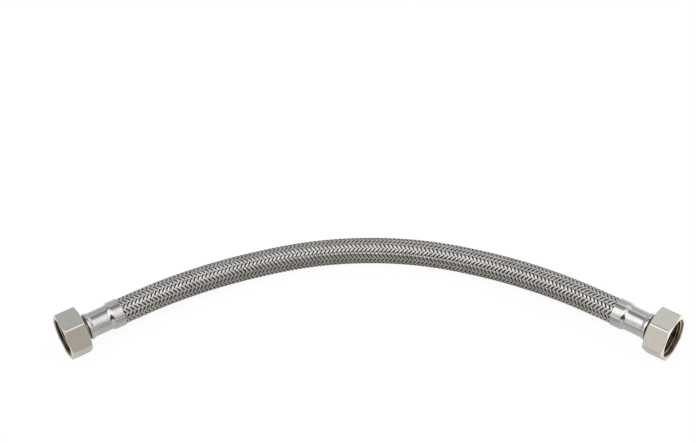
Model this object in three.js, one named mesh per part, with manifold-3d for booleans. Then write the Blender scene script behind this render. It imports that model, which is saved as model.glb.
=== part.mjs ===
// Braided flexible water supply hose with a swivelling union nut at each end.
// Millimetres, +Z up. The hose lies on the plane z = 0 as it comes to rest: each nut sits on one
// of its flats, and the braid comes down to the same plane at mid length.
// "u" is the distance along a fitting's axis, from the nut's open face towards the hose.
import * as THREE from "three";
import { mergeVertices } from "three/addons/utils/BufferGeometryUtils.js";
import Module from "manifold-3d";

// Gap kept between pieces that touch on the real hose
const SEAT_GAP = 0.3;

// Small chamfers and run-outs
const EDGE_BREAK = 0.25;

// Union nut, for a half inch pipe thread
const THREAD_MAJOR_DIAMETER = 20.955;
const THREAD_DEPTH = 1.1625;
const THREAD_RUNOUT_LENGTH = 1.8;
const NUT_WALL = 1.5225;
const NUT_LENGTH = 12.3;
const NUT_CHAMFER_ANGLE = THREE.MathUtils.degToRad(20);
const NUT_FACE_STEP = 0.4;
const NUT_RIM = 0.4;
const NUT_LIP_THICKNESS = 2;
const NUT_PLAY = 1;
const NUT_TO_FERRULE = 1.9;

// Flat washer that seals against the pipe
const GASKET_THICKNESS = 2;
const GASKET_HOLE_DIAMETER = 10.4;

// Nipple: the turned insert that carries the nut and grips the liner from inside
const FLANGE_THICKNESS = 1.8;
const NIPPLE_BORE_DIAMETER = 7.4;
const NIPPLE_NECK_DIAMETER = 11.2;
const NIPPLE_COLLAR_HEIGHT = 1.1;
const NIPPLE_COLLAR_WIDTH = 0.7;
const NIPPLE_STOP_HEIGHT = 0.9;
const NIPPLE_STOP_WIDTH = 0.9;
const BARB_DEPTH = 0.35;
const BARB_COUNT = 4;
const BARB_CLEARANCE = 0.6;
const STEM_SHORT_OF_MOUTH = 1;

// Crimped ferrule: flare against the nipple, long neck, shoulder, then the collar over the braid
const FERRULE_WALL = 0.5;
const STOP_CLEARANCE = 0.4;
const FLARE_WIDTH = 1.2;
const FLARE_BLEND = 1.8;
const NECK_LENGTH = 9.6;
const SHOULDER_LENGTH = 1.8;
const COLLAR_LENGTH = 6;
const COLLAR_STANDS_PROUD = 0.575;

// Hose: a rubber liner inside a sleeve of braided wire
const HOSE_DIAMETER = 14.25;
const BRAID_THICKNESS = 0.5;
const LINER_BORE_DIAMETER = 10;
const LINER_COLLAR_SQUEEZE = 0.1;
const LINER_NECK_WALL = 0.55;
const HOSE_SIDES = 12;
const STUB_LENGTH = 1.5;
const STUB_TAPER = 0.6;
const STUB_SHIM = 0.08;

// Where the fittings lie: the middle of each nut's open face, and the turn of its axis
// from the X axis
const FACE_X = 162.1;
const FACE_Y = -7.05;
const END_ANGLE = THREE.MathUtils.degToRad(32.75);

// The hose's route on the surface, for one half: [x, y, z] of the centre line from the middle
// of the hose towards a fitting. The other half mirrors it.
const ROUTE_HALF = [
  [0, 60.1, 7.15],
  [20, 59.1, 7.15],
  [39.5, 56, 7.15],
  [58.8, 50.8, 7.3],
  [77.3, 43.6, 8.4],
  [95.1, 34.7, 10],
  [112.3, 24.7, 11.4],
  [129.1, 14.1, 12],
];

const ROUND_SEGMENTS = 32;
const CURVE_STEPS = 3;
const MERGE_DISTANCE = 1e-4;
const CUT_OVERSHOOT = 1;

// Radii across the fitting, each worked out from the piece that it fits
const nutFlatRadius = THREAD_MAJOR_DIAMETER / 2 + NUT_WALL;
const nutFaceRadius = nutFlatRadius - NUT_FACE_STEP;
const nutMouthRadius = nutFaceRadius - NUT_RIM;
const crestRadius = THREAD_MAJOR_DIAMETER / 2 - THREAD_DEPTH;
const insideThreadRadius = crestRadius - SEAT_GAP;
const nippleNeckRadius = NIPPLE_NECK_DIAMETER / 2;
const nippleCollarRadius = nippleNeckRadius + NIPPLE_COLLAR_HEIGHT;
const nippleStopRadius = nippleNeckRadius + NIPPLE_STOP_HEIGHT;
const barbRadius = LINER_BORE_DIAMETER / 2 - BARB_CLEARANCE;
const flareRadius = nippleStopRadius + STOP_CLEARANCE + FERRULE_WALL;
const collarRadius = HOSE_DIAMETER / 2 + COLLAR_STANDS_PROUD;

// Inner and outer radius of the hose's two layers: free, under the collar and under the neck
const linerNeck = [barbRadius + SEAT_GAP, barbRadius + SEAT_GAP + LINER_NECK_WALL];
const braidNeck = [linerNeck[1] + SEAT_GAP, linerNeck[1] + SEAT_GAP + BRAID_THICKNESS];
const ferruleNeckRadius = braidNeck[1] + SEAT_GAP + FERRULE_WALL;
const underCollar = collarRadius - FERRULE_WALL - SEAT_GAP;
const braidLayer = {
  free: [HOSE_DIAMETER / 2 - BRAID_THICKNESS, HOSE_DIAMETER / 2],
  collar: [underCollar - BRAID_THICKNESS, underCollar],
  neck: braidNeck,
};
const linerLayer = {
  free: [LINER_BORE_DIAMETER / 2, braidLayer.free[0] - SEAT_GAP],
  collar: [LINER_BORE_DIAMETER / 2 - LINER_COLLAR_SQUEEZE, braidLayer.collar[0] - SEAT_GAP],
  neck: linerNeck,
};

// Stations along the fitting's axis
const lipFaceU = NUT_LENGTH - NUT_LIP_THICKNESS;
const flangeBackU = lipFaceU - SEAT_GAP - NUT_PLAY;
const flangeFrontU = flangeBackU - FLANGE_THICKNESS;
const gasketBackU = flangeFrontU - SEAT_GAP;
const gasketFrontU = gasketBackU - GASKET_THICKNESS;
const ferruleFrontU = NUT_LENGTH + NUT_TO_FERRULE;
const flareEndU = ferruleFrontU + FLARE_WIDTH;
const neckStartU = flareEndU + FLARE_BLEND;
const shoulderStartU = neckStartU + NECK_LENGTH;
const shoulderEndU = shoulderStartU + SHOULDER_LENGTH;
const ferruleMouthU = shoulderEndU + COLLAR_LENGTH;
const stopFrontU = ferruleFrontU + FERRULE_WALL + SEAT_GAP;
const stopBackU = stopFrontU + NIPPLE_STOP_WIDTH;
const hoseEndU = stopBackU + SEAT_GAP;
const freeHoseU = ferruleMouthU + SEAT_GAP;

const wasm = await Module();
wasm.setup();

const finishes = {
  nickel: { color: 0xb4afa8, roughness: 0.36, metalness: 1 },
  polishedSteel: { color: 0xc9c9c7, roughness: 0.16, metalness: 1 },
  braidWire: { color: 0xb9b7b2, roughness: 0.28, metalness: 1 },
  brass: { color: 0xa98a55, roughness: 0.35, metalness: 1 },
  gasketRubber: { color: 0x1d1c1b, roughness: 0.75, metalness: 0 },
  linerRubber: { color: 0x141414, roughness: 0.6, metalness: 0 },
};

function toSolid(geometry) {
  const bare = geometry.clone();
  bare.deleteAttribute("normal");
  bare.deleteAttribute("uv");
  const merged = mergeVertices(bare, MERGE_DISTANCE);
  return new wasm.Manifold(
    new wasm.Mesh({
      numProp: 3,
      vertProperties: new Float32Array(merged.attributes.position.array),
      triVerts: new Uint32Array(merged.index.array),
    }),
  );
}

function toGeometry(solid) {
  const mesh = solid.getMesh();
  const geometry = new THREE.BufferGeometry();
  geometry.setAttribute("position", new THREE.BufferAttribute(mesh.vertProperties, 3));
  geometry.setIndex(new THREE.BufferAttribute(mesh.triVerts, 1));
  geometry.computeVertexNormals();
  return geometry;
}

// A turned shape: the outline's x is the radius and its y is u
function turned(outline, segments = ROUND_SEGMENTS) {
  return new THREE.LatheGeometry(outline.getPoints(CURVE_STEPS), segments);
}

function closedOutline(points) {
  const outline = new THREE.Path();
  outline.moveTo(...points[0]);
  points.slice(1).forEach((point) => outline.lineTo(...point));
  outline.lineTo(...points[0]);
  return outline;
}

// A soft step in a pressed wall, level at both of its ends
function softStep(outline, toRadius, toU) {
  const { x: fromRadius, y: fromU } = outline.currentPoint;
  const middleU = (fromU + toU) / 2;
  outline.bezierCurveTo(fromRadius, middleU, toRadius, middleU, toRadius, toU);
}

// Hexagonal nut with both ends chamfered. Its bore is the thread's crest circle, with a lead-in
// at the mouth, a run-out groove behind the thread and the lip that pulls on the flange.
function makeNut() {
  const cornerRadius = nutFlatRadius / Math.cos(Math.PI / 6);
  const hexagon = new THREE.Shape();
  for (let corner = 0; corner < 6; corner += 1) {
    const angle = (corner * Math.PI) / 3;
    const point = [cornerRadius * Math.cos(angle), cornerRadius * Math.sin(angle)];
    if (corner === 0) hexagon.moveTo(...point);
    else hexagon.lineTo(...point);
  }
  hexagon.closePath();
  const prism = new THREE.ExtrudeGeometry(hexagon, { depth: NUT_LENGTH, bevelEnabled: false });
  prism.rotateX(-Math.PI / 2);

  const beyondCorner = cornerRadius + CUT_OVERSHOOT;
  const chamferDepth = (beyondCorner - nutFaceRadius) * Math.tan(NUT_CHAMFER_ANGLE);
  const chamferBody = turned(
    closedOutline([
      [0, 0],
      [nutFaceRadius, 0],
      [beyondCorner, chamferDepth],
      [beyondCorner, NUT_LENGTH - chamferDepth],
      [nutFaceRadius, NUT_LENGTH],
      [0, NUT_LENGTH],
    ]),
  );

  const runoutRadius = THREAD_MAJOR_DIAMETER / 2 + EDGE_BREAK;
  const runoutStartU = lipFaceU - THREAD_RUNOUT_LENGTH;
  const lipHoleRadius = nippleCollarRadius + SEAT_GAP;
  const bore = turned(
    closedOutline([
      [0, -CUT_OVERSHOOT],
      [nutMouthRadius + CUT_OVERSHOOT, -CUT_OVERSHOOT],
      [crestRadius, nutMouthRadius - crestRadius],
      [crestRadius, runoutStartU - (runoutRadius - crestRadius)],
      [runoutRadius, runoutStartU],
      [runoutRadius, lipFaceU],
      [lipHoleRadius, lipFaceU],
      [lipHoleRadius, NUT_LENGTH - EDGE_BREAK],
      [lipHoleRadius + EDGE_BREAK + CUT_OVERSHOOT, NUT_LENGTH + CUT_OVERSHOOT],
      [0, NUT_LENGTH + CUT_OVERSHOOT],
    ]),
  );
  return toGeometry(toSolid(prism).intersect(toSolid(chamferBody)).subtract(toSolid(bore)));
}

function makeGasket() {
  const holeRadius = GASKET_HOLE_DIAMETER / 2;
  return turned(
    closedOutline([
      [holeRadius, gasketFrontU],
      [insideThreadRadius, gasketFrontU],
      [insideThreadRadius, gasketBackU],
      [holeRadius, gasketBackU],
    ]),
  );
}

// Flange, neck, a thin collar that shows behind the nut, the groove that holds the ferrule,
// the stop for the hose's end, and the barbed stem
function makeNipple() {
  const boreRadius = NIPPLE_BORE_DIAMETER / 2;
  const rootRadius = barbRadius - BARB_DEPTH;
  const collarBackU = ferruleFrontU - SEAT_GAP;
  const collarFrontU = collarBackU - NIPPLE_COLLAR_WIDTH;
  const stemEndU = ferruleMouthU - STEM_SHORT_OF_MOUTH;
  const barbPitch = (stemEndU - hoseEndU) / BARB_COUNT;
  const points = [
    [boreRadius, flangeFrontU],
    [insideThreadRadius - EDGE_BREAK, flangeFrontU],
    [insideThreadRadius, flangeFrontU + EDGE_BREAK],
    [insideThreadRadius, flangeBackU],
    [nippleNeckRadius, flangeBackU],
    [nippleNeckRadius, collarFrontU],
    [nippleCollarRadius, collarFrontU],
    [nippleCollarRadius, collarBackU],
    [nippleNeckRadius, collarBackU],
    [nippleNeckRadius, stopFrontU],
    [nippleStopRadius, stopFrontU],
    [nippleStopRadius, stopBackU],
    [rootRadius, stopBackU],
  ];
  for (let barb = 0; barb < BARB_COUNT; barb += 1) {
    const startU = hoseEndU + barb * barbPitch;
    points.push([rootRadius, startU], [barbRadius, startU], [rootRadius, startU + barbPitch]);
  }
  points.push([boreRadius, stemEndU]);
  return turned(closedOutline(points));
}

// Pressed sleeve of even wall, hooked round the nipple's groove and crimped on to the braid
function makeFerrule() {
  const hookRadius = nippleNeckRadius + SEAT_GAP;
  const flareInside = flareRadius - FERRULE_WALL;
  const collarInside = collarRadius - FERRULE_WALL;
  const neckInside = ferruleNeckRadius - FERRULE_WALL;
  const outline = new THREE.Path();
  outline.moveTo(hookRadius, ferruleFrontU);
  outline.lineTo(flareInside, ferruleFrontU);
  outline.quadraticCurveTo(flareRadius, ferruleFrontU, flareRadius, ferruleFrontU + FERRULE_WALL);
  outline.lineTo(flareRadius, flareEndU);
  softStep(outline, ferruleNeckRadius, neckStartU);
  outline.lineTo(ferruleNeckRadius, shoulderStartU);
  softStep(outline, collarRadius, shoulderEndU);
  outline.lineTo(collarRadius, ferruleMouthU - EDGE_BREAK);
  outline.lineTo(collarRadius - EDGE_BREAK, ferruleMouthU);
  outline.lineTo(collarInside, ferruleMouthU);
  outline.lineTo(collarInside, shoulderEndU);
  softStep(outline, neckInside, shoulderStartU);
  outline.lineTo(neckInside, neckStartU);
  softStep(outline, flareInside, flareEndU);
  outline.lineTo(flareInside, ferruleFrontU + FERRULE_WALL);
  outline.lineTo(hookRadius, ferruleFrontU + FERRULE_WALL);
  outline.lineTo(hookRadius, ferruleFrontU);
  return turned(outline);
}

// The end of one layer of the hose, squeezed between the ferrule and the barbed stem. Its stub
// runs on inside the wall of the free hose, which it joins.
function makeSqueezedEnd(layer) {
  const stubRadius = layer.free[0] + STUB_SHIM;
  const outline = new THREE.Path();
  outline.moveTo(layer.neck[0], hoseEndU);
  outline.lineTo(layer.neck[1], hoseEndU);
  outline.lineTo(layer.neck[1], shoulderStartU);
  softStep(outline, layer.collar[1], shoulderEndU);
  outline.lineTo(layer.collar[1], freeHoseU + STUB_LENGTH);
  outline.lineTo(stubRadius, freeHoseU + STUB_LENGTH);
  outline.lineTo(stubRadius, freeHoseU);
  outline.lineTo(layer.collar[0], freeHoseU - STUB_TAPER);
  outline.lineTo(layer.collar[0], shoulderEndU);
  softStep(outline, layer.neck[0], shoulderStartU);
  outline.lineTo(layer.neck[0], hoseEndU);
  return turned(outline, HOSE_SIDES);
}

// Places a fitting: its own +Y axis is u, and side is -1 at the left end and 1 at the right
function placeEnd(object, side) {
  object.position.set(side * FACE_X, FACE_Y, nutFlatRadius);
  object.rotation.z = side * (Math.PI / 2 - END_ANGLE);
  object.updateMatrix();
  return object;
}

function pointOnAxis(side, u) {
  return new THREE.Vector3(0, u, 0).applyMatrix4(placeEnd(new THREE.Object3D(), side).matrix);
}

function makeRoute() {
  const rightHalf = ROUTE_HALF.map(([x, y, z]) => new THREE.Vector3(x, y, z));
  rightHalf.push(pointOnAxis(1, freeHoseU));
  const leftHalf = rightHalf.slice(1).map((point) => new THREE.Vector3(-point.x, point.y, point.z));
  return new THREE.CatmullRomCurve3([...leftHalf.reverse(), ...rightHalf], false, "centripetal");
}

function polygon(radius, path) {
  for (let side = 0; side <= HOSE_SIDES; side += 1) {
    const angle = (2 * Math.PI * side) / HOSE_SIDES;
    const point = [radius * Math.cos(angle), radius * Math.sin(angle)];
    if (side === 0) path.moveTo(...point);
    else path.lineTo(...point);
  }
  return path;
}

// One layer of the hose along its whole route, with its two squeezed ends
function makeHoseLayer(layer, route) {
  const section = polygon(layer.free[1], new THREE.Shape());
  section.holes.push(polygon(layer.free[0], new THREE.Path()));
  const steps = Math.round(route.getLength() / (2 * HOSE_DIAMETER));
  const free = new THREE.ExtrudeGeometry(section, { steps, extrudePath: route });
  const squeezedEnd = makeSqueezedEnd(layer);
  const ends = [-1, 1].map((side) =>
    toSolid(squeezedEnd.clone().applyMatrix4(placeEnd(new THREE.Object3D(), side).matrix)),
  );
  return toGeometry(toSolid(free).add(ends[0]).add(ends[1]));
}

function makeMesh(name, geometry, finish) {
  const mesh = new THREE.Mesh(geometry, new THREE.MeshStandardMaterial(finish));
  mesh.name = name;
  return mesh;
}

const hose = new THREE.Group();
const route = makeRoute();
hose.add(makeMesh("inner_tube", makeHoseLayer(linerLayer, route), finishes.linerRubber));
hose.add(makeMesh("braid_sleeve", makeHoseLayer(braidLayer, route), finishes.braidWire));

[["left", -1], ["right", 1]].forEach(([end, side]) => {
  const fitting = placeEnd(new THREE.Group(), side);
  fitting.add(makeMesh(`nut_${end}`, makeNut(), finishes.nickel));
  fitting.add(makeMesh(`gasket_${end}`, makeGasket(), finishes.gasketRubber));
  fitting.add(makeMesh(`nipple_${end}`, makeNipple(), finishes.brass));
  fitting.add(makeMesh(`ferrule_${end}`, makeFerrule(), finishes.polishedSteel));
  hose.add(fitting);
});

export default hose;
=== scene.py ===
# %% [markdown]
# # A braided water hose with two union nuts
#
# This hose joins a tap to the pipe under a basin. A rubber tube carries the water, a woven sleeve
# of steel wire keeps it from bursting, and at each end a pressed ferrule squeezes both on to a brass
# nipple that carries a loose hexagonal nut.
#
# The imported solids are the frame: they say where every piece is. Each step below swaps one kind of
# solid for a piece with the real surface. Geometry Nodes make what repeats along the hose, and mesh
# code makes the turned pieces. One small helper puts each new object in the scene.

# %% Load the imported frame
import math

import bpy
import numpy as np
from mathutils import Matrix, Vector


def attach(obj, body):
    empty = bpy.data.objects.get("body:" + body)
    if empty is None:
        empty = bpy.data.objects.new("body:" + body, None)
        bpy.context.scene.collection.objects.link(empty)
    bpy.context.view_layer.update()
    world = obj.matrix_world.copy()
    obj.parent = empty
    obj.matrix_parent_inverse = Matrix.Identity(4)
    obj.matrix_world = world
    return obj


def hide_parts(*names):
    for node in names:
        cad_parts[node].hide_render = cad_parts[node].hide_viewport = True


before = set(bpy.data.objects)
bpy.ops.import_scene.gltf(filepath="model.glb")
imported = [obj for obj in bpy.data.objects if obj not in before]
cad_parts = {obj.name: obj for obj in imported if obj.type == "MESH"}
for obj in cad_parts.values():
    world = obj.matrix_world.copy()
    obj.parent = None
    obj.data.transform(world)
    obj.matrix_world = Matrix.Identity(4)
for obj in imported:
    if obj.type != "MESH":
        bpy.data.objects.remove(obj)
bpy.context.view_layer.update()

MM = 0.001
ENDS = {"left": -1, "right": 1}
print("frame nodes:", ", ".join(sorted(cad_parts)))


def place_object(name, data):
    """Makes an object of some data and puts it in the scene."""
    made = bpy.data.objects.new(name, data)
    bpy.context.scene.collection.objects.link(made)
    return made


# %% [markdown]
# ## The camera
#
# The photograph was taken from the front and well above, about a metre away. The camera's place and
# turn came from matching the nuts' edges and the hose's middle line, so they are written down as
# they were found. A camera looks along its own -Z axis, so its matrix has the right, up and
# backward directions as columns.

# %% Camera
camera_right = Vector((0.99719664, 0.04840808, -0.05705721))
camera_up = Vector((0.00362537, 0.73038327, 0.68302792))
camera_back = camera_right.cross(camera_up)

camera_data = bpy.data.cameras.new("camera")
camera_data.sensor_width = 36.0
camera_data.lens = 94.65
camera_data.clip_start = 0.05
camera_data.clip_end = 50.0
camera = place_object("camera", camera_data)
turn = Matrix((camera_right, camera_up, camera_back)).transposed()
camera.matrix_world = Matrix.Translation((0.06383, -0.62145, 0.75924)) @ turn.to_4x4()
bpy.context.scene.camera = camera
print("camera looks down by", round(math.degrees(math.asin(camera_back.z)), 1), "degrees")

# %% [markdown]
# ## The line that the hose follows
#
# The hose's middle line comes before its surface. It lies in one slow bow, touches the table along
# the middle and climbs a little to both nuts, which are wider than the hose and hold its ends up.
# These are the points of the solids' route. A Catmull-Rom curve passes through each of them and is
# then divided into equal steps, so that a distance along the hose is easy to look up.
#
# A place on a fitting is given by u, the distance behind the nut's open face in millimetres.

# %% Route of the hose
FACE_X, FACE_Y, AXIS_HEIGHT = 162.1, -7.05, 12.0
END_ANGLE = math.radians(32.75)
HOSE_END_U = 16.2
STRAIGHT_U = (34.9, 28.0, 22.0, HOSE_END_U)
ROUTE_STEP = 1.5

ROUTE_HALF = [
    (0.0, 60.1, 7.15),
    (20.0, 59.1, 7.15),
    (39.5, 56.0, 7.15),
    (58.8, 50.8, 7.3),
    (77.3, 43.6, 8.4),
    (95.1, 34.7, 10.0),
    (112.3, 24.7, 11.4),
    (129.1, 14.1, 12.0),
]


def point_on_axis(side, u):
    """A point on a fitting's axis, u millimetres from the nut's open face towards the hose."""
    x = side * (FACE_X - u * math.cos(END_ANGLE))
    return (x, FACE_Y + u * math.sin(END_ANGLE), AXIS_HEIGHT)


def distance_along(points, power=1.0):
    """The distance from the first point to each point, with every step raised to a power."""
    return np.concatenate([[0], np.cumsum(np.linalg.norm(np.diff(points, axis=0), axis=1) ** power)])


def smooth_through(points, steps=60):
    """A centripetal Catmull-Rom curve through the points, as many short straight pieces."""
    p = np.array(points, float)
    p = np.vstack([2 * p[0] - p[1], p, 2 * p[-1] - p[-2]])
    all_knots = distance_along(p, 0.5)
    pieces = []
    for i in range(1, len(p) - 2):
        knots = all_knots[i - 1:i + 3]
        t = np.linspace(knots[1], knots[2], steps, endpoint=False)[:, None]

        def blend(first, second, start, end):
            """Slides from the first point at one knot to the second point at another."""
            low, high = knots[start], knots[end]
            return (high - t) / (high - low) * first + (t - low) / (high - low) * second

        a1, a2, a3 = (blend(p[i - 1 + n], p[i + n], n, n + 1) for n in range(3))
        pieces.append(blend(blend(a1, a2, 0, 2), blend(a2, a3, 1, 3), 1, 2))
    return np.vstack(pieces + [p[-2:-1]])


right_half = ROUTE_HALF + [point_on_axis(1, u) for u in STRAIGHT_U]
left_half = [(-x, y, z) for x, y, z in right_half[1:]]
fine = smooth_through(left_half[::-1] + right_half)
run = distance_along(fine)
stations = np.linspace(0, run[-1], round(run[-1] / ROUTE_STEP) + 1)
route_points = np.stack([np.interp(stations, run, fine[:, axis]) for axis in range(3)], 1) * MM

# %% [markdown]
# ## Helpers for node trees
#
# Shader trees and Geometry Nodes trees are built the same way: add a node, set its choices, and
# fill its inputs with values or with other nodes' outputs. One helper does all three.
#
# A formula is easier to read as a formula than as a row of nodes. So an output is wrapped in a
# Signal, and Python's own signs then place the Math nodes: a * b + c is a Multiply and an Add.

# %% Node helpers
def add_node(tree, kind, inputs=None, **choices):
    """Adds a node. inputs maps a socket's name or number to a value or to another output."""
    made = tree.nodes.new(kind)
    for name, choice in choices.items():
        setattr(made, name, choice)
    for socket, value in (inputs or {}).items():
        fill(made.inputs[socket], value)
    return made


def fill(socket, value):
    """Links an output to a socket, or sets the socket's own value."""
    if isinstance(value, Signal):
        value = value.socket
    if isinstance(value, bpy.types.NodeSocket):
        socket.id_data.links.new(value, socket)
    else:
        socket.default_value = value


class Signal:
    """A node's output that works with +, -, * and /. Each sign adds one Math node."""

    def __init__(self, socket):
        self.socket = socket

    def node(self, kind, values, **choices):
        """A node in this signal's own tree, with these values. Hands back its result."""
        return new_signal(self.socket.id_data, kind, dict(enumerate(values)), **choices)

    def math(self, operation, *others):
        """A Math node with this signal as its first value."""
        return self.node("ShaderNodeMath", (self, *others), operation=operation)

    def between(self, low, high, out_low=0.0, out_high=1.0):
        """Turns the range low to high into the range out_low to out_high, with soft ends."""
        values = (self, low, high, out_low, out_high)
        return self.node("ShaderNodeMapRange", values, interpolation_type="SMOOTHSTEP")

    def __add__(self, other):
        return self.math("ADD", other)

    def __sub__(self, other):
        return self.math("SUBTRACT", other)

    def __mul__(self, other):
        return self.math("MULTIPLY", other)

    def __truediv__(self, other):
        return self.math("DIVIDE", other)

    def __rsub__(self, other):
        return self.node("ShaderNodeMath", (other, self), operation="SUBTRACT")

    def __rtruediv__(self, other):
        return self.node("ShaderNodeMath", (other, self), operation="DIVIDE")


def new_signal(tree, kind, inputs=None, **choices):
    """Adds a node and hands back its first output."""
    return Signal(add_node(tree, kind, inputs, **choices).outputs[0])


def outputs_of(node):
    """A node's outputs by name."""
    return {output.name: Signal(output) for output in node.outputs}


print("node helpers ready")

# %% [markdown]
# Five more helpers cover what comes up in many trees: a formula on vectors, a vector taken apart
# and put together, and a node group that is made with named sockets and then placed in a tree.

# %% Vectors and groups
def vector_math(tree, operation, *values, **named):
    """A Vector Math node. Hands back its vector."""
    inputs = {**dict(enumerate(values)), **named}
    return new_signal(tree, "ShaderNodeVectorMath", inputs, operation=operation)


def split(tree, vector):
    """The x, y and z of a vector."""
    return [Signal(part) for part in add_node(tree, "ShaderNodeSeparateXYZ", {0: vector}).outputs]


def join(tree, *parts):
    """The vector with these x, y and z."""
    return new_signal(tree, "ShaderNodeCombineXYZ", dict(enumerate(parts)))


def new_tree(name, kind, inputs, outputs):
    """An empty node group. Hands it back with its inputs' signals and its outputs' sockets."""
    tree = bpy.data.node_groups.new(name, kind)
    for way, sockets in (("INPUT", inputs), ("OUTPUT", outputs)):
        for label, value_type, *default in sockets:
            socket_kind = "NodeSocket" + value_type
            made = tree.interface.new_socket(name=label, in_out=way, socket_type=socket_kind)
            if default:
                made.default_value = default[0]
    return tree, outputs_of(add_node(tree, "NodeGroupInput")), add_node(tree, "NodeGroupOutput").inputs


def place_group(tree, group, **inputs):
    """Puts a shared group in a tree and fills its inputs. Hands back its outputs by name."""
    kind = group.bl_idname.replace("Tree", "Group")
    return outputs_of(add_node(tree, kind, inputs, node_tree=group))


print("vector and group helpers ready")

# %% [markdown]
# ## Shared shader effects
#
# Drawn wire has fine lines along it, a turned face has rings, and plated stock is softly clouded.
# Three small groups hold these effects. They put out masks or heights, and the Principled shader
# stays in the material, which says how much of each effect it shows.
#
# "clouding" is slow variation, as left by handling and plating. "fine_grain" is a tiny even
# roughness, which can be stretched into lines. "machining_rings" are the circles that a lathe tool
# or a pressing die leaves. They follow the fitting's own axis, so the turned pieces carry an
# attribute with each point's place measured from it.

# %% Shader groups
def noise_of_size(tree, vector, size, detail, roughness):
    """Noise whose spots are about this wide, in the vector's own units."""
    inputs = {"Vector": vector, "Scale": 1.0 / size, "Detail": detail, "Roughness": roughness}
    return new_signal(tree, "ShaderNodeTexNoise", inputs)


def radius_and_u(tree, place):
    """A point's distance from the fitting's axis, and its distance behind the open face."""
    x, u, z = split(tree, place)
    return (x * x + z * z).math("SQRT"), u


def make_clouding():
    inputs = [("Vector", "Vector"), ("Size", "Float", 4 * MM), ("Contrast", "Float", 0.5)]
    tree, given, result = new_tree("clouding", "ShaderNodeTree", inputs, [("Mask", "Float")])
    noise = noise_of_size(tree, given["Vector"], given["Size"], 4.0, 0.55)
    low = given["Contrast"] * 0.3 + 0.2
    fill(result["Mask"], noise.between(low, 1.0 - low))
    return tree


def make_fine_grain():
    inputs = [("Vector", "Vector"), ("Size", "Float", 0.2 * MM), ("Stretch", "Vector", (1, 1, 1))]
    outputs = [("Height", "Float"), ("Mask", "Float")]
    tree, given, result = new_tree("fine_grain", "ShaderNodeTree", inputs, outputs)
    drawn = vector_math(tree, "MULTIPLY", given["Vector"], given["Stretch"])
    noise = noise_of_size(tree, drawn, given["Size"], 2.0, 0.6)
    fill(result["Height"], noise)
    fill(result["Mask"], noise.between(0.35, 0.7))
    return tree


def make_machining_rings():
    inputs = [("Place", "Vector"), ("Spacing", "Float", 0.2 * MM)]
    tree, given, result = new_tree("machining_rings", "ShaderNodeTree", inputs, [("Height", "Float")])
    ring = join(tree, *radius_and_u(tree, given["Place"]), 0.0)
    fill(result["Height"], noise_of_size(tree, ring, given["Spacing"], 1.0, 0.5))
    return tree


clouding, fine_grain, machining_rings = make_clouding(), make_fine_grain(), make_machining_rings()
for group in (clouding, fine_grain, machining_rings):
    print(group.name, "has", len(group.nodes), "nodes")

# %% [markdown]
# ## Material helpers
#
# Every finish starts as a plain Principled shader. The helpers mix two colours by a mask, turn a
# height into a bump, and read where a point is, either on the piece or in an attribute.

# %% Material helpers
def new_material(name, colour, metallic, roughness):
    """A material with a bare Principled shader. Hands back it, its tree and the shader's inputs."""
    material = bpy.data.materials.new(name)
    material.use_nodes = True
    shader = material.node_tree.nodes["Principled BSDF"].inputs
    shader["Base Color"].default_value = (*colour, 1.0)
    shader["Metallic"].default_value = metallic
    shader["Roughness"].default_value = roughness
    return material, material.node_tree, shader


def mix_colour(tree, mask, first, second):
    """first where the mask is 0, second where it is 1."""
    first, second = ((*c, 1.0) if isinstance(c, tuple) else c for c in (first, second))
    made = add_node(tree, "ShaderNodeMix", {6: first, 7: second}, data_type="RGBA")
    fill(made.inputs["Factor"], mask)
    return made.outputs[2]


def add_bump(tree, shader, height, strength, distance):
    """A bump from a height between 0 and 1, whose full depth is distance, in metres."""
    inputs = {"Height": height, "Strength": strength, "Distance": distance}
    fill(shader["Normal"], new_signal(tree, "ShaderNodeBump", inputs))


def read_attribute(tree, name):
    """The vector that a piece carries at each point under this name."""
    return add_node(tree, "ShaderNodeAttribute", attribute_name=name).outputs["Vector"]


def object_place(tree):
    """Each point's place on the piece, in metres."""
    return add_node(tree, "ShaderNodeTexCoord").outputs["Object"]


print("material helpers ready")

# %% [markdown]
# ## Finish of the braid wire
#
# The sleeve is woven from bright drawn stainless wire, about a quarter of a millimetre thick. Fine
# lines run along each wire. Where a strand dips under the others and towards its edges, its colour
# is darkened nearly to black: a painted shade for the gaps of the weave. An attribute on the
# strands says how far across the strand, how far along it and how high in the weave a point is.

# %% Braid wire material
def make_braid_wire():
    material, tree, shader = new_material("braid_wire", (0.62, 0.61, 0.59), 1.0, 0.24)
    across, along, lift = split(tree, read_attribute(tree, "weave"))
    lines = join(tree, across, along, 0.0)
    drawn = place_group(tree, fine_grain, Vector=lines, Size=0.12, Stretch=(1.0, 6.0, 1.0))
    cloud = place_group(tree, clouding, Vector=object_place(tree), Size=6 * MM, Contrast=0.6)
    # Painted shade: the colour is darkened nearly to black where a strand dips and towards its edges
    dip = lift.between(-0.95, -0.1, 1.0, 0.0)
    edge = across.math("ABSOLUTE").between(0.6, 0.95)
    painted_gap_shade = dip.math("MAXIMUM", edge * 0.95)
    bare_wire = mix_colour(tree, cloud["Mask"], (0.58, 0.565, 0.545), (0.67, 0.66, 0.645))
    fill(shader["Base Color"], mix_colour(tree, painted_gap_shade, bare_wire, (0.06, 0.052, 0.045)))
    fill(shader["Roughness"], drawn["Mask"] * 0.10 + 0.17 + dip * 0.16)
    add_bump(tree, shader, drawn["Height"], 0.25, 0.02 * MM)
    return material


braid_wire = make_braid_wire()
print(braid_wire.name, "made")

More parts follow.
